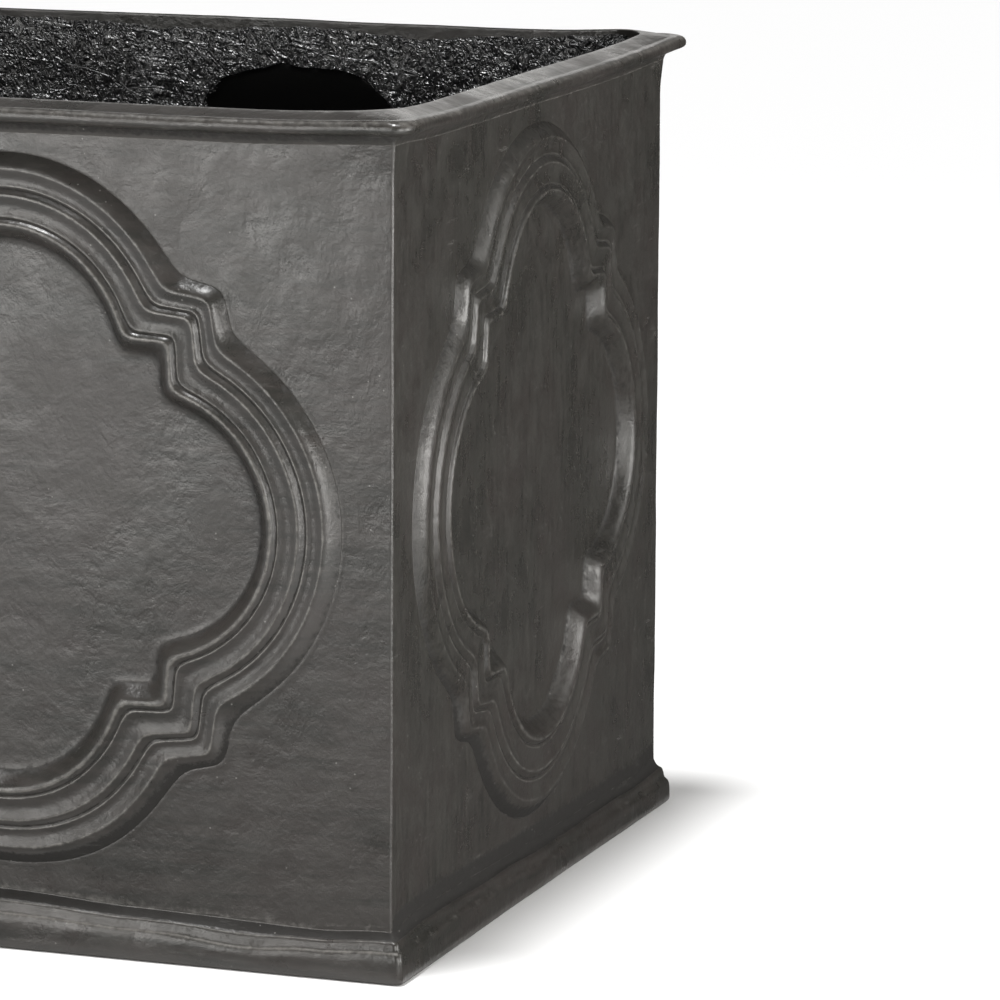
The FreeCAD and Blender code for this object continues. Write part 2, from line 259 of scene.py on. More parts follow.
def grid_faces(rows, columns, start, wrap):
    """Quads of a grid of vertices stored row by row."""
    across = columns if wrap else columns - 1
    row, column = np.meshgrid(np.arange(rows - 1), np.arange(across), indexing="ij")
    following = (column + 1) % columns
    corners = [row * columns + column, row * columns + following,
               (row + 1) * columns + following, (row + 1) * columns + column]
    return (np.stack(corners, axis=-1).reshape(-1, 4) + start).tolist()


class MeshParts:
    """Vertices, faces and the wear on them, with its painted light and shade, gathered before they become one
    mesh.
    """

    def __init__(self):
        self.points, self.faces, self.wear, self.count = [], [], [], 0

    def add_points(self, points, wear=0.0):
        points = np.asarray(points, dtype=float).reshape(-1, 3)
        start = self.count
        self.points.append(points)
        self.wear.append(np.broadcast_to(np.asarray(wear, dtype=float), len(points)))
        self.count += len(points)
        return start

    def add_face(self, start, count):
        """One face over points that follow each other."""
        self.faces.append(list(range(start, start + count)))

    def add_grid(self, points, wear=0.0, wrap=False):
        rows, columns = points.shape[:2]
        wear = np.broadcast_to(np.asarray(wear, dtype=float), (rows, columns)).reshape(-1)
        start = self.add_points(points, wear)
        self.faces += grid_faces(rows, columns, start, wrap)
        return start

    def add_tube(self, rings, wear=0.0):
        """A grid of closed rings, with a face over the first and the last."""
        start = self.add_grid(rings, wear, wrap=True)
        count = rings.shape[1]
        self.add_face(start, count)
        self.add_face(start + (len(rings) - 1) * count, count)


def add_piece(name, parts, material, node, crease=SHELL_CREASE, shaped=True):
    """Make a closed mesh from its parts, let it ride on the planter, and let it stand for its node."""
    points = np.concatenate(parts.points)
    if shaped:
        points = hand_shaped(points)
    mesh = bpy.data.meshes.new(name)
    mesh.from_pydata(points.tolist(), [], parts.faces)
    # The wear attribute carries rubbed wear and grime together with painted highlight and painted shade
    wear = mesh.attributes.new("wear", "FLOAT", "POINT")
    wear.data.foreach_set("value", np.concatenate(parts.wear).astype(np.float32))
    work = bmesh.new()
    work.from_mesh(mesh)
    bmesh.ops.remove_doubles(work, verts=work.verts, dist=WELD_DISTANCE)
    bmesh.ops.recalc_face_normals(work, faces=work.faces)
    work.to_mesh(mesh)
    work.free()
    mesh.shade_smooth()
    mesh.set_sharp_from_angle(angle=crease)
    piece = bpy.data.objects.new(name, mesh)
    bpy.context.scene.collection.objects.link(piece)
    mesh.materials.append(material)
    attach(piece, BODY)
    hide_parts(node)


# The quatrefoil

# Cross-section of the moulding from its outer foot to the inner field: inset and height in mm, and its wear,
# which also paints highlight on the crests and the outer foot and shade in the grooves and at the inner foot
MOULDING = [
    (-2.6, 0.0, 0.0), (-1.0, 0.2, 0.45), (-0.3, 0.1, 0.55), (0.2, 0.0, -0.2), (0.7, 0.5, -0.4),
    (1.9, 1.6, -0.3), (3.8, 3.2, -0.15), (6.0, 4.9, 0.0), (7.6, 5.75, 0.1), (8.8, 6.15, 0.5),
    (9.6, 6.25, 0.75), (10.8, 6.05, 0.2), (12.4, 5.5, -0.1), (14.4, 5.0, -0.2), (16.4, 4.85, -0.1),
    (17.8, 5.1, 0.1), (18.8, 5.5, 0.5), (19.4, 5.6, 0.9), (20.0, 5.4, 0.2), (20.6, 5.0, -0.5),
    (21.0, 4.9, -0.6), (21.6, 5.3, -0.2), (22.8, 6.4, 0.0), (23.8, 7.05, 0.4), (24.7, 7.3, 0.85),
    (25.8, 7.2, 0.3), (27.6, 6.65, 0.0), (29.4, 6.2, -0.15), (31.6, 6.05, -0.2), (33.8, 6.3, 0.0),
    (35.4, 6.7, 0.2), (36.3, 7.0, 0.5), (36.8, 7.0, 0.8), (37.4, 6.75, 0.1), (37.9, 6.35, -0.5),
    (38.4, 6.5, -0.5), (39.0, 7.3, 0.0), (39.9, 8.25, 0.4), (40.8, 8.7, 0.85), (41.8, 8.7, 0.6),
    (43.0, 8.2, 0.2), (44.6, 6.8, 0.0), (46.6, 4.1, -0.1), (48.3, 1.5, -0.3), (49.3, 0.15, -0.45),
    (50.1, -0.55, -0.45), (51.2, -0.9, -0.2), (54.0, -1.0, 0.0),
]
ARC_STEPS = 44
EDGE_STEPS = 9

# By inset in mm: how often the outline is eased, and the painted shade on the underside of the outer flank
EASING = ((0.0, 4.0, 9.0, 42.0, 47.0, 54.0), (7, 5, 3, 3, 5, 10))
UNDERSHADE = ((-1.6, -0.4, 2.0, 5.0, 8.0), (0.0, 0.9, 0.9, 0.6, 0.0))


def lobe_section(radius, barb, offset, splay):
    """One quarter of the outline, from barb to barb round the right-hand lobe."""
    foot_out = barb + splay
    reach = math.acos(max(-1.0, min(1.0, (foot_out - offset) / radius)))
    meet = radius * math.sin(reach)
    turn = np.linspace(-reach, reach, ARC_STEPS + 1)
    arc = np.stack([offset + radius * np.cos(turn), radius * np.sin(turn)], axis=-1)
    share = np.linspace(0, 1, EDGE_STEPS, endpoint=False)
    foot = np.stack([barb + splay * share, -barb + (barb - meet) * share], axis=-1)
    head = foot[::-1] * (1, -1)
    return np.concatenate([foot, arc, head])[:-1]


def quatrefoil(radius, barb, offset, splay, rounding):
    """Closed outline of the quatrefoil, with its corners eased."""
    section = lobe_section(radius, barb, offset, splay)
    turns = [np.array([[1, 0], [0, 1]]), np.array([[0, 1], [-1, 0]]),
             np.array([[-1, 0], [0, -1]]), np.array([[0, -1], [1, 0]])]
    outline = np.concatenate([section @ turn for turn in turns])
    for _ in range(rounding):
        outline = (np.roll(outline, 1, axis=0) + 2 * outline + np.roll(outline, -1, axis=0)) / 4
    return outline


def cell_frame(outline, left, right, low, high):
    """Points on the cell's edge that answer the points of the outline, barbs at the cell's corners."""
    corners = np.array([[right, low], [right, high], [left, high], [left, low], [right, low]])
    quarter = len(outline) // 4
    closed = np.concatenate([outline, outline[:1]])
    edges = []
    for index in range(4):
        stretch = closed[index * quarter:(index + 1) * quarter + 1]
        run = np.concatenate([[0], np.cumsum(np.hypot(*np.diff(stretch, axis=0).T))])
        share = (run / run[-1])[:-1, None]
        edges.append(corners[index] * (1 - share) + corners[index + 1] * share)
    return np.concatenate(edges)


def motif_loops(left, right, low, high):
    """Rings of points from the edge of a cell, over the moulding, to the middle of its field."""
    motif = bpy.context.scene.planter_motif
    sizes = bpy.context.scene.planter_sizes
    wall = sizes.wall_top - sizes.wall_foot
    radius = wall / 2 - motif.margin - motif.lobe_offset
    loops = []
    for inset, height, wear in MOULDING:
        share = max(inset, 0.0) / MOULDING[-1][0]
        narrowing = 0.66 + 0.16 * share ** 2
        narrow, wide = (
            quatrefoil(radius - inset * width * MM, motif.barb_half - inset * width * narrowing * MM,
                       motif.lobe_offset, motif.splay * (1 - share), round(np.interp(inset, *EASING)))
            for width in motif.sag)
        low_share = np.clip(-narrow[:, 1] / np.hypot(*narrow.T), 0.0, 1.0)[:, None] ** 2
        outline = narrow * (1 - low_share) + wide * low_share
        # Painted shade on the underside of the outer flank, taken off the wear so it darkens like grime
        wear = wear - np.interp(inset, *UNDERSHADE) * low_share[:, 0]
        loops.append((outline * (1.0, motif.stretch), height * MM, wear))
    outer, inner = loops[0][0], loops[-1][0]
    edge = cell_frame(outer, left, right, low, high)
    near_edge, rest = (0.0, 0.03, 0.07, 0.12), 1 - np.linspace(1, 0, 12)[1:-1] ** 1.4
    shares = np.concatenate([near_edge, near_edge[-1] + (1 - near_edge[-1]) * rest])
    fall = [(edge * (1 - share) + outer * share, 0.0, 0.0) for share in shares]
    field = [(inner * share, loops[-1][1], 0.0) for share in np.linspace(1, 0.05, 17)[1:]]
    return fall + loops + field


def relief_panel(side):
    """A wall panel: its quatrefoils, its eased upright edges, its mitred ends and its plain back."""
    sizes = bpy.context.scene.planter_sizes
    motif = bpy.context.scene.planter_motif
    length, cells = side_length(side), SIDES[side][2]
    wall = sizes.wall_top - sizes.wall_foot
    centre_up = wall / 2 + motif.raised
    edge = sizes.wall_edge
    inner = length / 2 - sizes.wall_thick
    parts = MeshParts()
    border = []
    for cell in range(cells):
        middle = length * ((cell + 0.5) / cells - 0.5)
        left = -length / 2 + (edge if cell == 0 else length * cell / cells) - middle
        right = length / 2 - (edge if cell == cells - 1 else length * (cells - 1 - cell) / cells) - middle
        loops = motif_loops(left, right, -centre_up, wall - centre_up)
        rings = np.stack([
            on_side(side, ring[:, 0] + middle, height, ring[:, 1] + centre_up + sizes.wall_foot)
            for ring, height, _ in loops])
        count = rings.shape[1]
        wear = np.stack([np.broadcast_to(loop[2], count) for loop in loops])
        above_foot = rings[..., 2] - sizes.wall_foot
        # Long sides: a lighter line at the wall's foot, rubbed wear and painted highlight; ends: ridges less
        # rubbed, foot grimed
        if is_long(side):
            wear = wear + 0.6 * (1 - smooth_rise(above_foot, 0.5 * MM, 8 * MM))
        else:
            wear = np.minimum(wear, wear * 0.75) - 1.2 * (1 - smooth_rise(above_foot, 3 * MM, 13 * MM))
        start = parts.add_grid(rings, wear, wrap=True)
        parts.add_face(start + (len(rings) - 1) * count, count)
        border.append(loops[0][0] + (middle, 0) + (0, centre_up) + (0, sizes.wall_foot))
    along, up = np.concatenate(border).T

    def chain(value, level, order):
        """Border points of one edge of the panel, in order and once each."""
        picked = np.stack([along, up], axis=-1)[np.abs(value - level) < 1e-6]
        picked = picked[np.argsort(picked[:, order])]
        keep = np.concatenate([[True], np.diff(picked[:, order]) > 1e-6])
        return picked[keep][:, order]

    eased = [(length / 2 - edge + edge * math.sin(angle), -edge * (1 - math.cos(angle)))
             for angle in np.linspace(0, math.pi / 4, 6)]
    rises = {}
    for hand in (-1, 1):
        rise = chain(along, hand * (length / 2 - edge), 1)
        strip = np.stack([on_side(side, hand * reach, depth, rise) for reach, depth in eased])
        # The eased upright edge is a little lighter: rubbed wear and painted highlight
        parts.add_grid(strip, np.linspace(0, 0.2, len(eased))[:, None])
        parts.add_grid(np.stack([strip[-1], on_side(side, hand * inner, -sizes.wall_thick, rise)]))
        rises[hand] = rise[1:-1]
    lead, fold = np.array(eased[:0:-1]).T
    runs = []
    for level in (sizes.wall_foot, sizes.wall_top):
        run = chain(up, level, 0)
        full = np.concatenate([-lead, run, lead[::-1]])
        depth = np.concatenate([fold, np.zeros(len(run)), fold[::-1]])
        behind = np.clip(full, -inner, inner)
        parts.add_grid(np.stack([on_side(side, full, depth, level),
                                 on_side(side, behind, -sizes.wall_thick, level)]))
        runs.append(np.unique(np.round(behind, 7)))
    low_run, high_run = runs[0], runs[1][::-1]
    right_rise, left_rise = rises[1], rises[-1][::-1]
    loop_along = np.concatenate([
        low_run, np.full(len(right_rise), inner), high_run, np.full(len(left_rise), -inner)])
    loop_up = np.concatenate([
        np.full(len(low_run), sizes.wall_foot), right_rise,
        np.full(len(high_run), sizes.wall_top), left_rise])
    start = parts.add_points(on_side(side, loop_along, -sizes.wall_thick, loop_up))
    parts.add_face(start, len(loop_along))
    return parts


# Rails

RAIL_CORNER_STEPS = 10

# Sections from the wall's outer face, in mm: outward, up from the wall's top or the ground, wear with its
# painted light and shade, and the corner in plan that the row takes: 0 the wall's, 1 the rail's outer one, 2
# the rim's inner one
# On the rim, painted shade in the cove under the lip and in the groove on top; painted highlight with rubbed
# wear along the lip and the wall's top edge
RIM_SECTION = [
    (0.0, 0.0, 0.8, 0.0), (0.3, 1.3, -0.3, 0.05), (0.9, 2.7, -0.6, 0.15), (2.1, 4.2, -0.6, 0.35),
    (4.0, 5.5, -0.5, 0.6), (6.4, 6.3, -0.4, 0.8), (8.6, 6.7, -0.2, 1.0), (10.2, 7.0, 0.2, 1.0),
    (11.3, 7.7, 0.4, 1.0), (12.0, 8.8, 0.3, 1.0), (12.2, 10.1, 0.3, 1.0), (12.0, 11.4, 0.4, 1.0),
    (11.4, 12.6, 0.6, 1.0), (10.5, 13.5, 0.7, 1.0), (9.4, 14.1, 0.6, 1.05), (8.2, 14.4, 0.3, 1.1),
    (7.2, 14.4, 0.0, 1.2), (6.4, 14.2, -0.5, 1.3), (5.8, 14.2, -0.6, 1.3), (5.0, 14.5, -0.2, 1.4),
    (3.0, 15.2, 0.1, 1.5), (0.0, 16.2, 0.1, 1.7), (-2.8, 17.1, 0.15, 1.85), (-4.9, 17.7, 0.2, 1.95),
    (-5.7, 17.7, 0.2, 2.0), (-6.0, 17.2, 0.1, 2.0), (-6.0, 16.0, 0.0, 1.9), (-6.0, 11.0, 0.0, 1.4),
    (-6.0, 5.0, 0.0, 0.9), (-6.0, 0.0, 0.0, 0.5), (-3.0, 0.0, 0.0, 0.2),
]
# On the plinth, darker in the cove against the wall, grime and painted shade; lighter on its beads and upper
# edge, rubbed wear and painted highlight
PLINTH_SECTION = [
    (5.4, 0.0, 0.0, 1.0), (6.8, 0.35, -0.1, 1.0), (7.7, 1.3, -0.2, 1.0), (8.1, 2.8, -0.1, 1.0),
    (8.1, 5.2, 0.0, 1.0), (8.0, 8.0, 0.0, 1.0), (7.9, 10.6, 0.0, 1.0), (7.6, 12.8, 0.1, 1.0),
    (7.1, 14.4, 0.4, 1.0), (6.2, 15.5, 0.9, 1.0), (5.6, 16.2, 0.4, 0.9), (5.2, 17.5, 0.0, 0.8),
    (4.9, 19.0, 0.0, 0.6), (4.5, 20.4, 0.1, 0.5), (3.9, 21.4, 0.8, 0.4), (2.9, 22.0, -0.4, 0.3),
    (1.9, 22.7, -0.9, 0.2), (1.1, 23.8, -1.0, 0.1), (0.5, 25.2, -1.0, 0.05), (0.1, 26.5, -0.7, 0.0),
    (0.0, 27.0, 0.9, 0.0), (-3.0, 27.0, 0.0, 0.0), (-6.0, 27.0, 0.0, 0.0), (-6.0, 12.0, 0.0, 0.0),
    (-20.0, 12.0, 0.0, 0.0), (-20.0, 0.0, 0.0, 0.0), (-8.0, 0.0, 0.0, 0.0),
]
RAIL_STEPS = {"long": 260, "short": 140}


def mitred_rail(side, section):
    """Sweep a closed section along one side, round half of each corner, to the mitre planes.

    A row of the section is outward, up, corner radius and wear with its painted light and shade, in metres.
    """
    half = side_length(side) / 2
    out, up, corner, wear = np.array(section).T
    turned = [(half + out - corner + corner * np.sin(angle), out - corner + corner * np.cos(angle))
              for angle in np.linspace(math.pi / 4, 0, RAIL_CORNER_STEPS + 1)]
    rows = [(-along, outward) for along, outward in turned]
    for share in np.linspace(-1, 1, RAIL_STEPS[SIDES[side][1]])[1:-1]:
        rows.append(((half + out - corner) * share, out))
    rows += turned[::-1]
    parts = MeshParts()
    parts.add_tube(np.stack([on_side(side, along, outward, up) for along, outward in rows]), wear[None, :])
    return parts


def rail_section(rows, base, corners):
    """Rows of a section in metres, each with the radius of its corner in plan."""
    return [(out * MM, base + up * MM, np.interp(corner, range(len(corners)), corners), wear)
            for out, up, wear, corner in rows]


def rim_rail(side):
    sizes = bpy.context.scene.planter_sizes
    corners = (sizes.wall_edge, sizes.rim_edge, sizes.rim_inner_edge)
    section = rail_section(RIM_SECTION, sizes.wall_top, corners)
    # On the ends the painted shade in the cove and the groove is left out
    if not is_long(side):
        section = [(out, up, corner, max(wear, 0.1)) for out, up, corner, wear in section]
    return mitred_rail(side, section)


def plinth_rail(side):
    """The plinth on one side; on the ends its upper part is grimed."""
    sizes = bpy.context.scene.planter_sizes
    section = rail_section(PLINTH_SECTION, 0.0, (sizes.wall_edge, sizes.plinth_edge))
    if not is_long(side):
        grimed_from = 21.5 * MM
        section = [(out, up, corner, min(wear, 0.4 if up < grimed_from else -1.0))
                   for out, up, corner, wear in section]
    return mitred_rail(side, section)


# Inside

# Smooth patch on the back lining, painted black as shade
SHADE_PATCH_SIDE = "back"
SHADE_PATCH_ALONG = 219 * MM
SHADE_PATCH_UP = 411 * MM
SHADE_PATCH_HALF_WIDTH = 60 * MM
SHADE_PATCH_HALF_HEIGHT = 26 * MM
SHADE_PATCH_MARGIN = 8 * MM

LINING_STEP = 1.1 * MM
TAPE_LEG_STEPS = 30
DRAIN_STEPS = 160


def on_line(along):
    """Points on one line, for noise along an edge."""
    return np.stack([along, np.zeros(len(along)), np.zeros(len(along))], axis=-1)


def crumpled(points, seed):
    """Folds and crinkles of the soaked mat, in metres about its mean face."""
    bend = np.stack([soft_noise(points, 14 * MM, seed + axis) for axis in range(3)], axis=-1) * 3 * MM
    slow = soft_noise(points, 48 * MM, seed + 3)
    folds = 0.5 - np.abs(soft_noise(points + bend, 11 * MM, seed + 7)) * 2
    crinkle = 0.5 - np.abs(soft_noise(points + bend, 2.8 * MM, seed + 11)) * 2
    return (0.4 * slow + 0.25 * folds + 0.4 * crinkle) * MM


def wall_lining(side):
    """Glass mat on one wall: crumpled, ragged at its upper edge, with a smooth patch of painted shade on the
    back.
    """
    sizes = bpy.context.scene.planter_sizes
    node = side + "_lining"
    seed = 100 + 20 * SIDES[side][0]
    low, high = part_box(node)[0][2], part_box(node)[1][2]
    half = span(node, 0 if is_long(side) else 1) / 2
    along = np.linspace(-half, half, round(2 * half / LINING_STEP))
    line = on_line(along)
    ragged = 2.8 * soft_noise(line, 75 * MM, seed) + 1.2 * soft_noise(line, 14 * MM, seed + 1)
    top = high + (1.6 + ragged + 0.7 * soft_noise(line, 4.5 * MM, seed + 2)) * MM
    top = np.minimum(top, sizes.rim_top - 1.2 * MM)

    fine_from = high - 66 * MM
    coarse = np.linspace(low, fine_from, 24, endpoint=False)[:, None] + np.zeros(len(along))
    up = np.concatenate([coarse, fine_from + (top - fine_from) * np.linspace(0, 1, 58)[:, None]])
    wide = np.broadcast_to(along, up.shape)
    points = np.stack([wide, np.zeros(up.shape), up], axis=-1).reshape(-1, 3)
    shade_patch = np.zeros(up.shape)
    # A smooth patch painted black as shade, carried as negative wear
    if side == SHADE_PATCH_SIDE:
        edge = soft_noise(points, 13 * MM, seed + 13).reshape(up.shape) * 0.07
        away = np.hypot((wide + SHADE_PATCH_ALONG) / SHADE_PATCH_HALF_WIDTH, (up - SHADE_PATCH_UP) / SHADE_PATCH_HALF_HEIGHT)
        shade_patch = 1 - smooth_rise(away + edge, 0.93, 1.05)

    lift = crumpled(points, seed + 6).reshape(up.shape)
    depth = sizes.lining_thick * smooth_rise(top - up, -16 * MM, 24 * MM) - 0.3 * MM * shade_patch
    depth = np.maximum(depth + lift * (1 - shade_patch) * smooth_rise(top - up, 0.0, 3 * MM), 0.1 * MM)
    flat = np.zeros((1, len(along)))
    up = np.concatenate([up, top[None] + 0.1 * MM, flat + low])
    depth = np.concatenate([depth, flat, flat])
    wear = -np.concatenate([shade_patch, flat, flat]).T
    parts = MeshParts()
    parts.add_tube(on_side(side, along, -(sizes.wall_thick + depth), up).transpose(1, 0, 2), wear)
    return parts


def corner_tape(node):
    """Strip of mat folded into an upright corner over the linings."""
    (x_low, y_low, low), (x_high, y_high, high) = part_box(node)
    x_hand, y_hand = (1 if x_high > 0 else -1), (1 if y_high > 0 else -1)
    corner = np.array([x_high if x_hand > 0 else x_low, y_high if y_hand > 0 else y_low])
    seed = 400 + 7 * x_hand + 3 * y_hand
    thick, fold = 2.0 * MM, 7.0 * MM

    legs = np.linspace(x_high - x_low, thick + fold, TAPE_LEG_STEPS)
    leg = np.stack([legs, np.full(TAPE_LEG_STEPS, thick)], axis=-1)
    turn = np.linspace(0, math.pi / 2, 9)[1:-1]
    turned = np.stack([np.sin(turn), np.cos(turn)], axis=-1)
    face = np.concatenate([leg, thick + fold * (1 - turned), leg[::-1, ::-1]])
    inward = np.concatenate([
        np.tile((0.0, 1.0), (TAPE_LEG_STEPS, 1)), turned, np.tile((1.0, 0.0), (TAPE_LEG_STEPS, 1))])

    count = len(face)
    across = np.linspace(0, 0.12, count)
    line = on_line(across)
    top = high + 3.5 * MM * soft_noise(line, 16 * MM, seed) + 1.5 * MM * soft_noise(line, 5 * MM, seed + 1)
    up = low + (top - low)[None] * np.linspace(0, 1, 150)[:, None]
    where = np.stack([np.broadcast_to(across, up.shape), np.full(up.shape, 0.5), up], axis=-1)
    lift = crumpled(where.reshape(-1, 3), seed + 2).reshape(up.shape) * 0.7
    flat = face[None] + inward[None] * lift[..., None]

    fray = 4.0 * MM * soft_noise(on_line(up[:, 0]), 13 * MM, seed + 9)
    frayed = np.zeros(count)
    frayed[:6] = np.linspace(1, 0, 6)
    flat[..., 0] += fray[:, None] * frayed
    flat[..., 1] += fray[:, None] * frayed[::-1]
    behind = flat[:, ::-1] - inward[::-1][None] * (thick + 0.4 * MM)
    plan = corner - np.concatenate([flat, behind], axis=1) * (x_hand, y_hand)
    section_up = np.concatenate([up, up[:, ::-1]], axis=1)
    parts = MeshParts()
    parts.add_tube(np.concatenate([plan, section_up[..., None]], axis=-1))
    return parts


def drained_plate(node, rough):
    """Floor plate with its drain holes; a rough one has the crumpled face of the mat."""
    sizes = bpy.context.scene.planter_sizes
    (x_low, y_low, low), (x_high, y_high, high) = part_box(node)
    limits = ((0, x_low), (0, x_high), (1, y_low), (1, y_high))
    places = [-sizes.drain_spacing, 0.0, sizes.drain_spacing]
    bounds = [x_low] + [(a + b) / 2 for a, b in zip(places, places[1:])] + [x_high]
    turn = np.linspace(-math.pi / 4, 2 * math.pi - math.pi / 4, DRAIN_STEPS, endpoint=False)
    turned = np.stack([np.cos(turn), np.sin(turn)], axis=-1)
    parts = MeshParts()
    for index, place in enumerate(places):
        circle = turned * sizes.drain_radius
        if rough:
            uneven = soft_noise(np.column_stack([turned, np.full(DRAIN_STEPS, index)]), 0.5, 51)
            circle = circle * (1 + 0.05 * uneven)[:, None]
        edge = cell_frame(circle, bounds[index] - place, bounds[index + 1] - place, y_low, y_high)
        shares = np.linspace(0, 1, 44 if rough else 6) ** 0.8
        upper = [edge * (1 - share) + circle * share + (place, 0) for share in shares]
        levels = [np.full(DRAIN_STEPS, high)] * len(upper)
        if rough:
            levels = [high + crumpled(np.column_stack([ring, np.zeros(DRAIN_STEPS)]), 61) for ring in upper]
        rings = upper + [circle + (place, 0), edge + (place, 0)]
        levels += [np.full(DRAIN_STEPS, low)] * 2
        grid = np.stack([np.column_stack([ring, level]) for ring, level in zip(rings, levels)])
        start = parts.add_grid(grid, wrap=True)
        last = start + (len(rings) - 1) * DRAIN_STEPS
        for here in range(DRAIN_STEPS):
            there = (here + 1) % DRAIN_STEPS
            first, second = rings[-1][here], rings[-1][there]
            if any(abs(first[axis] - limit) + abs(second[axis] - limit) < 1e-6 for axis, limit in limits):
                parts.faces.append([start + here, start + there, last + there, last + here])
    return parts


def strand_tree():
    """Node tree that strews short bowed strands over a surface."""
    tree = bpy.data.node_groups.new("mat_strands", "GeometryNodeTree")
    for name, kind in (("Surface", "Geometry"), ("Density", "Float"), ("Seed", "Int"), ("Length", "Float"),
                       ("Thickness", "Float"), ("Material", "Material")):
        tree.interface.new_socket(name, in_out="INPUT", socket_type="NodeSocket" + kind)
    tree.interface.new_socket("Strands", in_out="OUTPUT", socket_type="NodeSocketGeometry")
    nodes = Nodes(tree)
    given = nodes.add("NodeGroupInput").outputs

    def scaled(length_share, thickness_share):
        length = nodes.sums("MULTIPLY", given["Length"], length_share)
        thickness = nodes.sums("MULTIPLY", given["Thickness"], thickness_share)
        return nodes.add("ShaderNodeCombineXYZ", {"X": length, "Y": thickness, "Z": thickness}).outputs[0]

    def random_vector(low, high):
        values = {"Min": low, "Max": high, "Seed": given["Seed"]}
        return nodes.add("FunctionNodeRandomValue", values, data_type="FLOAT_VECTOR").outputs["Value"]

    spread = nodes.add("GeometryNodeDistributePointsOnFaces", {
        "Mesh": given["Surface"], "Density": given["Density"], "Seed": given["Seed"]}).outputs
    spine = nodes.add("GeometryNodeCurveQuadraticBezier", {
        "Resolution": 4, "Start": (-0.5, 0.0, 0.0), "Middle": (0.0, 4.0, 1.2), "End": (0.5, 0.0, 0.0)})
    section = nodes.add("GeometryNodeCurvePrimitiveCircle", {"Resolution": 4, "Radius": 0.5})
    strand = nodes.add("GeometryNodeCurveToMesh", {
        "Curve": spine.outputs["Curve"], "Profile Curve": section.outputs["Curve"], "Fill Caps": True})
    size = random_vector(scaled(0.35, 0.7), scaled(1.25, 1.3))
    turn = random_vector((-0.03, -0.03, 0.0), (0.03, 0.03, 2 * math.pi))
    facing = nodes.add("FunctionNodeRotateRotation", {
        "Rotation": spread["Rotation"], "Rotate By": turn}, rotation_space="LOCAL")
    strewn = nodes.add("GeometryNodeInstanceOnPoints", {
        "Points": spread["Points"], "Instance": strand.outputs["Mesh"],
        "Rotation": facing.outputs["Rotation"], "Scale": size})
    real = nodes.add("GeometryNodeRealizeInstances", {"Geometry": strewn.outputs["Instances"]})
    coloured = nodes.add("GeometryNodeSetMaterial", {
        "Geometry": real.outputs["Geometry"], "Material": given["Material"]})
    nodes.add("NodeGroupOutput", {"Strands": coloured.outputs["Geometry"]})
    return tree


def strewn_strands(name, surface, density, seed):
    """Loose strands over flat faces given as corner points, as a plain mesh."""
    sizes = bpy.context.scene.planter_sizes
    mesh = bpy.data.meshes.new(name)
    corners = np.concatenate(surface)
    mesh.from_pydata(corners.tolist(), [], np.arange(len(corners)).reshape(-1, 4).tolist())
    piece = bpy.data.objects.new(name, mesh)
    bpy.context.scene.collection.objects.link(piece)
    modifier = piece.modifiers.new("strands", "NODES")
    modifier.node_group = strand_tree()
    values = {
        "Density": density,
        "Seed": seed,
        "Length": sizes.strand_length,
        "Thickness": sizes.strand_thick,
        "Material": finish_named("glass_strand", glass_strand),
    }
    for item in modifier.node_group.interface.items_tree:
        if item.in_out == "INPUT" and item.name in values:
            modifier[item.identifier] = values[item.name]
    shown = piece.evaluated_get(bpy.context.evaluated_depsgraph_get())
    plain = bpy.data.meshes.new_from_object(shown)
    piece.modifiers.clear()
    piece.data = plain
    plain.shade_smooth()
    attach(piece, BODY)


# Materials

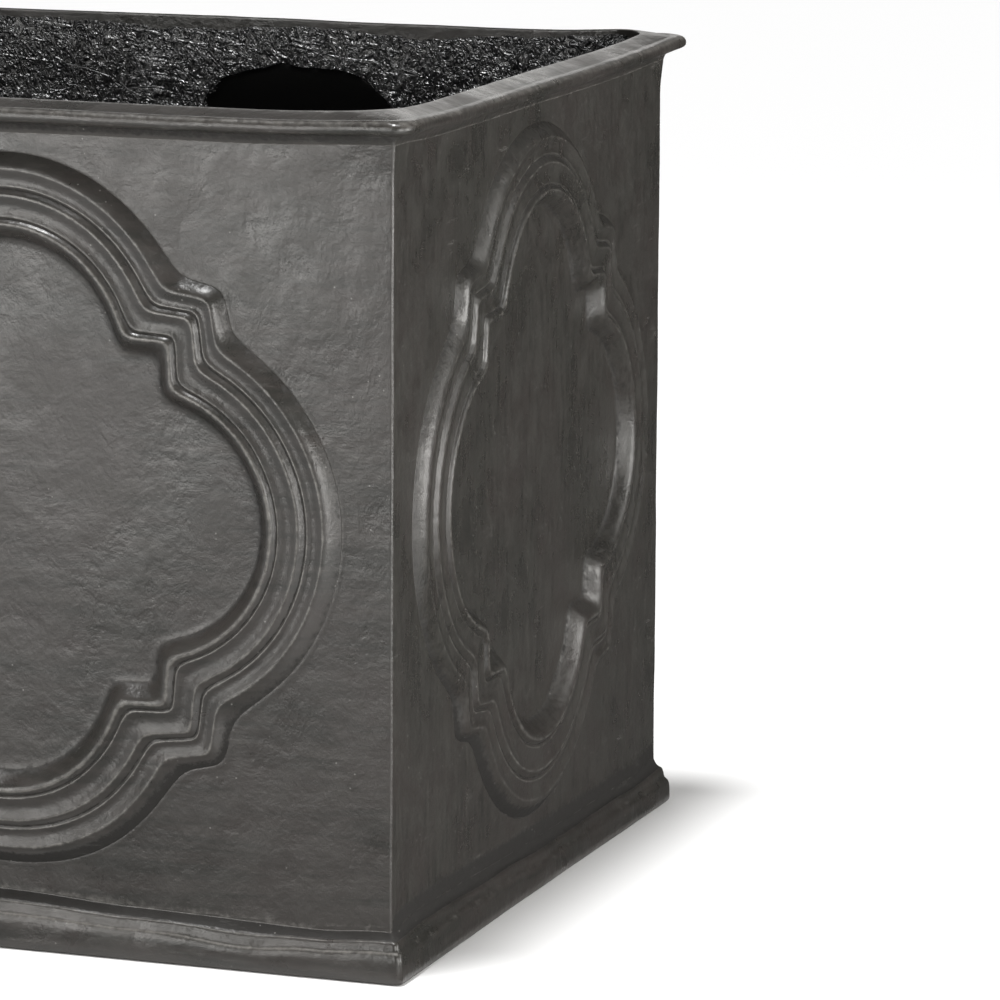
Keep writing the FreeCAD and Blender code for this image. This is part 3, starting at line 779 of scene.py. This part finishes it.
class Nodes:
    """Short hand for building a node tree."""

    def __init__(self, tree, coordinates=None):
        self.tree = tree
        if coordinates:
            self.place = self.add("ShaderNodeTexCoord").outputs[coordinates]

    def add(self, kind, values=None, **settings):
        """A node with its settings, and with the constants or links of its inputs."""
        node = self.tree.nodes.new(kind)
        for name, value in settings.items():
            setattr(node, name, value)
        for name, value in (values or {}).items():
            self.feed(node.inputs[name], value)
        return node

    def feed(self, socket, value):
        if isinstance(value, bpy.types.NodeSocket):
            self.tree.links.new(value, socket)
        else:
            socket.default_value = value

    def stretched(self, scale, turn):
        values = {"Scale": scale, "Rotation": turn, "Vector": self.place}
        return self.add("ShaderNodeMapping", values).outputs["Vector"]

    def crossing(self, angle, across, along):
        """Coordinates drawn out along a line that crosses each face of the inside at an angle."""
        x, y, z = self.add("ShaderNodeSeparateXYZ", {0: self.place}).outputs
        slant = self.sums("MULTIPLY", self.sums("SUBTRACT", x, y), 0.6)
        flat = {"X": self.sums("ADD", x, y), "Z": self.sums("ADD", z, slant)}
        values = {
            "Vector": self.add("ShaderNodeCombineXYZ", flat).outputs["Vector"],
            "Rotation": (0.0, angle, 0.0),
            "Scale": (1 / across, 1.0, 1 / along),
        }
        return self.add("ShaderNodeMapping", values, vector_type="TEXTURE").outputs["Vector"]

    def noise(self, scale, detail=2.0, roughness=0.5, distortion=0.0, place=None):
        return self.add("ShaderNodeTexNoise", {
            "Scale": scale, "Detail": detail, "Roughness": roughness, "Distortion": distortion,
            "Vector": place or self.place}).outputs["Fac"]

    def cells(self, scale):
        return self.add("ShaderNodeTexVoronoi", {"Scale": scale, "Vector": self.place}).outputs["Distance"]

    def attribute(self, name):
        return self.add("ShaderNodeAttribute", attribute_name=name).outputs["Fac"]

    def between(self, value, low, high, to_low=0.0, to_high=1.0, shape="SMOOTHSTEP"):
        return self.add("ShaderNodeMapRange", {
            "Value": value, "From Min": low, "From Max": high, "To Min": to_low, "To Max": to_high},
            interpolation_type=shape).outputs["Result"]

    def sums(self, operation, first, second):
        return self.add("ShaderNodeMath", {0: first, 1: second}, operation=operation).outputs["Value"]

    def weighted(self, *terms):
        """Sum of values, each given with its weight."""
        total = 0.0
        for value, weight in terms:
            total = self.sums("ADD", total, self.sums("MULTIPLY", value, weight))
        return total

    def mix(self, share, first, second):
        first, second = (colour if isinstance(colour, bpy.types.NodeSocket) else (*colour, 1.0)
                         for colour in (first, second))
        values = {"Factor": share, "A": first, "B": second}
        return self.add("ShaderNodeMix", values, data_type="RGBA").outputs["Result"]

    def bump(self, height, strength, distance, **onto):
        values = {"Height": height, "Strength": strength, "Distance": distance, **onto}
        return self.add("ShaderNodeBump", values).outputs["Normal"]


class Finish(Nodes):
    """A material with one shader."""

    def __init__(self, name):
        self.material = bpy.data.materials.new(name)
        self.material.use_nodes = True
        self.material.node_tree.nodes.clear()
        super().__init__(self.material.node_tree, "Object")
        self.shader = self.add("ShaderNodeBsdfPrincipled")
        self.add("ShaderNodeOutputMaterial", {"Surface": self.shader.outputs["BSDF"]})

    def shaded(self, values):
        """The material, with the constants or links of its shader."""
        for name, value in values.items():
            self.feed(self.shader.inputs[name], value)
        return self.material


# Scale, turn, strength and depth of the brush marks: lying on the long sides and rails, standing on the ends
BRUSH_MARKS = {
    "lying": ((12.0, 12.0, 150.0), (0.0, 0.10, 0.0), 0.35, 0.05),
    "standing": ((520.0, 520.0, 40.0), (0.05, 0.0, 0.0), 0.8, 0.05),
}
STROKE_SCALE = (40.0, 40.0, 260.0)
STROKE_TURN = (0.0, 0.42, 0.0)
MARK_COLOUR = (0.20, 0.195, 0.185)
# Black of the patch of painted shade on the back lining
SHADE_PATCH_COLOUR = (0.0006, 0.0006, 0.0006)
FIBRE_ANGLES = (0.3, 1.1, 1.9, 2.6)


def lead_grey(brush):
    """Lead-grey gel coat: blotched, brushed and scuffed; rubbed with painted highlight on its ridges, grimed
    with painted shade in its hollows.
    """
    colours = bpy.context.scene.planter_colours
    nodes = Finish("lead_grey_" + brush)
    scale, turn, strength, depth = BRUSH_MARKS[brush]
    brushed = nodes.noise(1.0, 5.0, 0.62, 0.6, nodes.stretched(scale, turn))
    blotch = nodes.noise(7.0, 4.0, 0.6, 0.5)
    mottle = nodes.noise(48.0, 5.0, 0.62, 0.3)
    dents = nodes.noise(85.0, 3.0, 0.5, 0.4)
    grain = nodes.noise(260.0, 4.0, 0.65)
    strokes = nodes.noise(1.0, 4.0, 0.7, 0.0, nodes.stretched(STROKE_SCALE, STROKE_TURN))
    patchy = nodes.between(nodes.noise(16.0, 3.0, 0.6), 0.52, 0.66)
    scuffs = nodes.sums("MULTIPLY", nodes.between(strokes, 0.56, 0.74), patchy)
    sparse = nodes.between(nodes.noise(31.0, 2.0), 0.53, 0.60)
    specks = nodes.sums("MULTIPLY", nodes.between(nodes.cells(170.0), 0.11, 0.05), sparse)
    marks = nodes.sums("MAXIMUM", nodes.sums("MULTIPLY", scuffs, 0.35), specks)

    ragged = nodes.sums("MULTIPLY", nodes.sums("SUBTRACT", grain, 0.5), 1.2)
    ragged_wear_and_light = nodes.sums("ADD", nodes.attribute("wear"), ragged)
    # Rubbed wear, with painted highlight on crests and edges
    rubbed_and_highlight = nodes.between(ragged_wear_and_light, 0.35, 1.1, 0.0, 0.85)
    # Grime, with painted shade in grooves, coves and under the flanks
    grime_and_shade = nodes.between(ragged_wear_and_light, -0.2, -0.75, 0.0, 0.95)
    stain = nodes.between(nodes.weighted((brushed, 0.6), (blotch, 0.6)), 0.50, 0.70)
    streaks = nodes.between(nodes.sums("ADD", brushed, mottle), 0.80, 1.25, 0.0, strength)
    colour = nodes.mix(stain, colours.lead, colours.lead_warm)
    colour = nodes.mix(streaks, colour, [channel * 1.7 for channel in colours.lead])
    colour = nodes.mix(rubbed_and_highlight, colour, colours.lead_worn_and_highlight)
    colour = nodes.mix(grime_and_shade, colour, colours.lead_dirt_and_shade)
    colour = nodes.mix(nodes.sums("MULTIPLY", marks, 0.6), colour, MARK_COLOUR)

    cloudy = nodes.weighted((brushed, depth * 2), (blotch, 1.0), (mottle, 1.0))
    gloss = nodes.between(cloudy, 0.7 + depth, 1.35 + depth, 0.23, 0.42)
    gloss = nodes.weighted((gloss, 1.0), (scuffs, -0.07), (grime_and_shade, 0.55))
    soft = nodes.bump(nodes.weighted((mottle, 1.0), (dents, 0.6), (brushed, depth)), 0.6, 0.0011)
    fine = nodes.weighted((grain, 1.0), (nodes.sums("MULTIPLY", strokes, patchy), 0.9))
    return nodes.shaded({
        "Base Color": colour,
        "Roughness": gloss,
        "Specular IOR Level": 0.5,
        "Normal": nodes.bump(fine, 0.35, 0.0005, Normal=soft),
    })


def black_mat():
    """Black flow coat over chopped glass strands: crinkled and pitted, with painted glints on its crests and
    strands, and a smooth patch painted black as shade.
    """
    colours = bpy.context.scene.planter_colours
    nodes = Finish("flow_coat")
    wear = nodes.attribute("wear")
    # The patch painted black as shade
    shade_patch = nodes.between(wear, -0.3, -0.7)
    rough = nodes.between(wear, -0.7, -0.3)
    crumple = nodes.noise(150.0, 2.0, 0.5, 1.4)
    from_crest = nodes.sums("ABSOLUTE", nodes.sums("SUBTRACT", crumple, 0.5), 0.0)
    ridges = nodes.between(from_crest, 0.0, 0.13, 1.0, 0.0)
    # Painted glints along the crests of the crinkles
    crest_glints = nodes.between(from_crest, 0.0, 0.045, 0.8, 0.0)
    fine = nodes.noise(780.0, 3.0, 0.6, 0.8)
    fibres = 0.0
    for angle in FIBRE_ANGLES:
        lines = nodes.noise(1.0, 1.0, 0.5, 0.2, nodes.crossing(angle, 260.0, 24.0))
        fibres = nodes.sums("MAXIMUM", nodes.between(lines, 0.60, 0.70), fibres)
    height = nodes.weighted((ridges, 1.1), (fine, 0.12), (fibres, 1.1))
    # Patches of painted light and shade over the glints
    lit_patches = nodes.between(nodes.noise(38.0, 3.0, 0.6, 0.8), 0.40, 0.62, 0.12, 1.0)
    lit = nodes.sums("MULTIPLY", nodes.sums("MAXIMUM", fibres, crest_glints), lit_patches)
    lit = nodes.sums("MULTIPLY", lit, nodes.between(fine, 0.40, 0.62, 0.2, 1.0))
    gloss = nodes.sums("MULTIPLY", nodes.between(fine, 0.3, 0.7, 0.24, 0.38), rough)
    return nodes.shaded({
        "Base Color": nodes.mix(shade_patch, nodes.mix(lit, colours.mat, colours.mat_strand_and_glint), SHADE_PATCH_COLOUR),
        "Roughness": nodes.sums("MAXIMUM", gloss, 0.13),
        "Specular IOR Level": 0.9,
        "Normal": nodes.bump(nodes.sums("MULTIPLY", height, rough), 1.0, 0.0022),
    })


def glass_strand():
    """Resin-soaked strand that stands out of the black coat."""
    colours = bpy.context.scene.planter_colours
    nodes = Finish("glass_strand")
    tint = nodes.noise(90.0, 2.0)
    return nodes.shaded({
        "Base Color": nodes.mix(nodes.between(tint, 0.35, 0.65), colours.mat, colours.strand),
        "Roughness": nodes.between(tint, 0.3, 0.7, 0.2, 0.38),
    })


def finish_named(name, maker, *details):
    """A material of the planter, made once."""
    return bpy.data.materials.get(name) or maker(*details)


def shell_finish(side):
    brush = "lying" if is_long(side) else "standing"
    return finish_named("lead_grey_" + brush, lead_grey, brush)


def mat_finish():
    return finish_named("flow_coat", black_mat)


# Operators

class PLANTER_OT_panels(bpy.types.Operator):
    """Build the four wall panels with their quatrefoils"""

    bl_idname = "planter.panels"
    bl_label = "Wall panels"

    def execute(self, context):
        for side, node in PANEL_NODES.items():
            add_piece(node + "_cast", relief_panel(side), shell_finish(side), node)
        return {"FINISHED"}


class PLANTER_OT_rim(bpy.types.Operator):
    """Build the flared rim"""

    bl_idname = "planter.rim"
    bl_label = "Rim"

    def execute(self, context):
        for side in SIDES:
            node = side + "_rim"
            add_piece(node + "_cast", rim_rail(side), shell_finish("front"), node)
        return {"FINISHED"}


class PLANTER_OT_plinth(bpy.types.Operator):
    """Build the plinth"""

    bl_idname = "planter.plinth"
    bl_label = "Plinth"

    def execute(self, context):
        for side in SIDES:
            node = side + "_plinth"
            add_piece(node + "_cast", plinth_rail(side), shell_finish("front"), node)
        return {"FINISHED"}


class PLANTER_OT_floor(bpy.types.Operator):
    """Build the floor and its lining, with the drain holes"""

    bl_idname = "planter.floor"
    bl_label = "Floor"

    def execute(self, context):
        add_piece("floor_panel_cast", drained_plate("floor_panel", False), shell_finish("front"),
                  "floor_panel", shaped=False)
        add_piece("floor_lining_mat", drained_plate("floor_lining", True), mat_finish(),
                  "floor_lining", FLOOR_CREASE, shaped=False)
        return {"FINISHED"}


class PLANTER_OT_lining(bpy.types.Operator):
    """Build the glass mat on the walls and in the corners"""

    bl_idname = "planter.lining"
    bl_label = "Lining"

    def execute(self, context):
        for side in SIDES:
            node = side + "_lining"
            add_piece(node + "_mat", wall_lining(side), mat_finish(), node, MAT_CREASE)
        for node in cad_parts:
            if node.startswith("corner_tape"):
                add_piece(node + "_mat", corner_tape(node), mat_finish(), node, MAT_CREASE)
        return {"FINISHED"}


class PLANTER_OT_strands(bpy.types.Operator):
    """Strew loose glass strands over the lining"""

    bl_idname = "planter.strands"
    bl_label = "Strands"

    def execute(self, context):
        sizes = context.scene.planter_sizes
        outward = -(sizes.wall_thick + sizes.lining_thick + 0.75 * MM)
        surface = []
        for side in SIDES:
            node = side + "_lining"
            half = span(node, 0 if is_long(side) else 1) / 2 - 12 * MM
            low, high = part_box(node)[0][2] + 12 * MM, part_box(node)[1][2] - 14 * MM
            fields = [(-half, half, high)]
            if side == SHADE_PATCH_SIDE:
                start = -SHADE_PATCH_ALONG - SHADE_PATCH_HALF_WIDTH - SHADE_PATCH_MARGIN
                end = -SHADE_PATCH_ALONG + SHADE_PATCH_HALF_WIDTH + SHADE_PATCH_MARGIN
                below = SHADE_PATCH_UP - SHADE_PATCH_HALF_HEIGHT - SHADE_PATCH_MARGIN
                fields = [(-half, start, high), (start, end, below), (end, half, high)]
            for left, right, top in fields:
                surface.append(on_side(side, [right, left, left, right], outward, [low, low, top, top]))
        (x_low, y_low, _), (x_high, y_high, level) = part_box("floor_lining")
        level += 0.6 * MM
        edge = 14 * MM
        surface.append(np.array([
            (x_low + edge, y_low + edge, level), (x_high - edge, y_low + edge, level),
            (x_high - edge, y_high - edge, level), (x_low + edge, y_high - edge, level)]))
        strewn_strands("lining_strands", surface, sizes.strand_density, seed=7)
        return {"FINISHED"}


# Stage

WHITE = (1.0, 1.0, 1.0, 1.0)
LIGHT_COLOUR = (1.0, 0.985, 0.955)
LIGHT_AIM = (0.2, 0.0, 0.25)
SUN_STRENGTH = 3.2
SUN_ANGLE = math.radians(9)
FLOOR_REACH = 14.0

# Azimuth, distance and height of a softbox, its width and its own height, and its power
SOFTBOXES = {
    "right_light": (85, 2.2, 0.42, 0.7, 0.84, 23),
    "right_high_light": (102, 2.1, 1.25, 0.7, 0.8, 5),
    "front_right_light": (50, 2.2, 0.42, 0.7, 0.84, 18),
    "front_left_light": (-15, 2.2, 0.34, 0.7, 0.64, 10),
    "front_high_light": (-20, 2.0, 1.0, 0.9, 0.45, 11),
    "back_left_light": (197, 2.4, 1.25, 1.6, 1.0, 6.5),
}


def add_camera(scene):
    stage = scene.planter_stage
    data = bpy.data.cameras.new("camera")
    data.sensor_width = 36.0
    data.lens = stage.focal
    data.clip_end = 100.0
    camera = bpy.data.objects.new("camera", data)
    sin, cos = math.sin, math.cos
    level = cos(stage.pitch)
    ahead = Vector((-sin(stage.yaw) * level, cos(stage.yaw) * level, -sin(stage.pitch)))
    right = Vector((cos(stage.yaw), sin(stage.yaw), 0.0))
    above = right.cross(ahead)
    right, above = (right * cos(stage.roll) + above * sin(stage.roll),
                    above * cos(stage.roll) - right * sin(stage.roll))
    turn = Matrix((right, above, -ahead)).transposed()
    camera.matrix_world = Matrix.Translation(Vector(stage.eye)) @ turn.to_4x4()
    scene.collection.objects.link(camera)
    scene.camera = camera


def round_about(azimuth, distance, height):
    """A place round the planter: azimuth 0 is in front, 90 on its right."""
    angle = math.radians(azimuth)
    return Vector((math.sin(angle) * distance, -math.cos(angle) * distance, height))


def add_lamp(data, direction):
    lamp = bpy.data.objects.new(data.name, data)
    lamp.rotation_mode = "QUATERNION"
    lamp.rotation_quaternion = direction.to_track_quat("-Z", "Y")
    bpy.context.scene.collection.objects.link(lamp)
    return lamp


def add_lights():
    """Softboxes that the camera does not see, and a soft sun almost overhead."""
    for name, (azimuth, distance, height, width, tall, power) in SOFTBOXES.items():
        data = bpy.data.lights.new(name, "AREA")
        data.shape = "RECTANGLE"
        data.size, data.size_y = width, tall
        data.energy = power
        data.color = LIGHT_COLOUR
        place = round_about(azimuth, distance, height)
        lamp = add_lamp(data, Vector(LIGHT_AIM) - place)
        lamp.location = place
        lamp.visible_camera = False
    data = bpy.data.lights.new("sky_light", "SUN")
    data.energy = SUN_STRENGTH
    data.angle = SUN_ANGLE
    add_lamp(data, -round_about(-25, 0.14, 1.0))


def add_card(name, corners, faces, material, unseen_by=()):
    """A flat piece of the stage, and the kinds of ray that miss it."""
    mesh = bpy.data.meshes.new(name)
    mesh.from_pydata(corners, [], faces)
    mesh.materials.append(material)
    card = bpy.data.objects.new(name, mesh)
    for ray in unseen_by:
        setattr(card, "visible_" + ray, False)
    bpy.context.scene.collection.objects.link(card)


def glowing(nodes, level, glow):
    """A dull material of an even grey with a glow."""
    return nodes.shaded({
        "Base Color": (level, level, level, 1.0), "Roughness": 1.0, "Specular IOR Level": 0.0,
        "Emission Color": WHITE, "Emission Strength": glow})


def add_floor():
    """A white floor that reflections see darker near the planter."""
    nodes = Finish("floor_white")
    rays = nodes.add("ShaderNodeLightPath").outputs
    seen = nodes.sums("MAXIMUM", rays["Is Camera Ray"], rays["Is Transmission Ray"])
    away = nodes.add("ShaderNodeVectorMath", {0: nodes.place}, operation="LENGTH").outputs["Value"]
    mirrored = nodes.sums("MULTIPLY", rays["Is Glossy Ray"], nodes.between(away, 0.3, 2.0, 0.0, 0.4))
    glow = nodes.sums("MAXIMUM", nodes.sums("MULTIPLY", seen, 0.06), mirrored)
    corners = [(x * FLOOR_REACH, y * FLOOR_REACH, 0) for x, y in ((-1, -1), (1, -1), (1, 1), (-1, 1))]
    add_card("floor", corners, [(0, 1, 2, 3)], glowing(nodes, 0.8, glow))


def add_flag(name, corners, faces, slant, glow):
    """A dim card that only reflections see; its glow goes with Y + slant * X: from, to, and levels there."""
    nodes = Finish(name)
    place = nodes.add("ShaderNodeSeparateXYZ", {0: nodes.place}).outputs
    depth = nodes.sums("ADD", place["Y"], nodes.sums("MULTIPLY", place["X"], slant))
    add_card(name, corners, faces, glowing(nodes, 0.02, nodes.between(depth, *glow)),
             ("camera", "diffuse", "shadow", "transmission"))


def add_flags():
    low, high = 1.2 * MM, 1.4
    add_flag("back_flag", [(0.4572, -0.25, low), (3.2, -0.25, low), (3.2, 3.4, low), (0.1, 3.4, low),
                           (0.1, 0.25, low), (0.4572, 0.25, low), (3.2, 3.4, high), (0.1, 3.4, high)],
             [(0, 1, 2, 3, 4, 5), (3, 2, 6, 7)], 0.0, (0.3, 1.9, 0.06, 0.012))
    add_flag("front_flag", [(-2.5, -3.0, low), (0.46, -3.0, low), (0.46, -0.245, low), (-2.5, -0.245, low)],
             [(0, 1, 2, 3)], 1.6, (0.25, -2.2, 0.30, 1.22))


def add_world(scene):
    """A studio that the camera sees white, and that lights the planter from low down more than from above."""
    world = bpy.data.worlds.new("studio")
    world.use_nodes = True
    nodes = Nodes(world.node_tree, "Generated")
    rays = nodes.add("ShaderNodeLightPath").outputs
    up = nodes.add("ShaderNodeSeparateXYZ", {0: nodes.place}).outputs["Z"]
    sweep = nodes.between(up, 0.1, 0.4, 0.25, 0.13, "LINEAR")
    level = nodes.sums("MAXIMUM", rays["Is Camera Ray"], rays["Is Transmission Ray"])
    for ray in ("Is Glossy Ray", "Is Diffuse Ray"):
        level = nodes.sums("MAXIMUM", level, nodes.sums("MULTIPLY", rays[ray], sweep))
    background = world.node_tree.nodes["Background"].inputs
    nodes.feed(background["Color"], WHITE)
    nodes.feed(background["Strength"], level)
    scene.world = world


class PLANTER_OT_stage(bpy.types.Operator):
    """Set up the floor, the studio light and the camera"""

    bl_idname = "planter.stage"
    bl_label = "Stage"

    def execute(self, context):
        add_camera(context.scene)
        add_lights()
        add_floor()
        add_flags()
        add_world(context.scene)
        context.scene.view_settings.view_transform = "Standard"
        return {"FINISHED"}


class PLANTER_PT_sidebar(bpy.types.Panel):
    """Lists the steps that build the planter"""

    bl_idname = "PLANTER_PT_sidebar"
    bl_label = "Trough planter"
    bl_space_type = "VIEW_3D"
    bl_region_type = "UI"
    bl_category = "Planter"

    def draw(self, context):
        for step in STEPS:
            self.layout.operator(step.bl_idname)
        for group in GROUPS:
            for name in GROUPS[group].__annotations__:
                self.layout.prop(getattr(context.scene, group), name)


STEPS = [PLANTER_OT_panels, PLANTER_OT_rim, PLANTER_OT_plinth, PLANTER_OT_floor, PLANTER_OT_lining,
         PLANTER_OT_strands, PLANTER_OT_stage]
GROUPS = {
    "planter_sizes": PlanterSizes,
    "planter_motif": MotifSizes,
    "planter_colours": FinishColours,
    "planter_stage": StageSizes,
}


def register():
    for item in [*GROUPS.values(), *STEPS, PLANTER_PT_sidebar]:
        bpy.utils.register_class(item)
    for group, kind in GROUPS.items():
        setattr(bpy.types.Scene, group, bpy.props.PointerProperty(type=kind))


def unregister():
    for group in GROUPS:
        delattr(bpy.types.Scene, group)
    for item in [PLANTER_PT_sidebar, *STEPS, *GROUPS.values()]:
        bpy.utils.unregister_class(item)


def main():
    register()
    bpy.ops.planter.panels()
    bpy.ops.planter.rim()
    bpy.ops.planter.plinth()
    bpy.ops.planter.floor()
    bpy.ops.planter.lining()
    bpy.ops.planter.strands()
    bpy.ops.planter.stage()


if __name__ == "__main__":
    main()
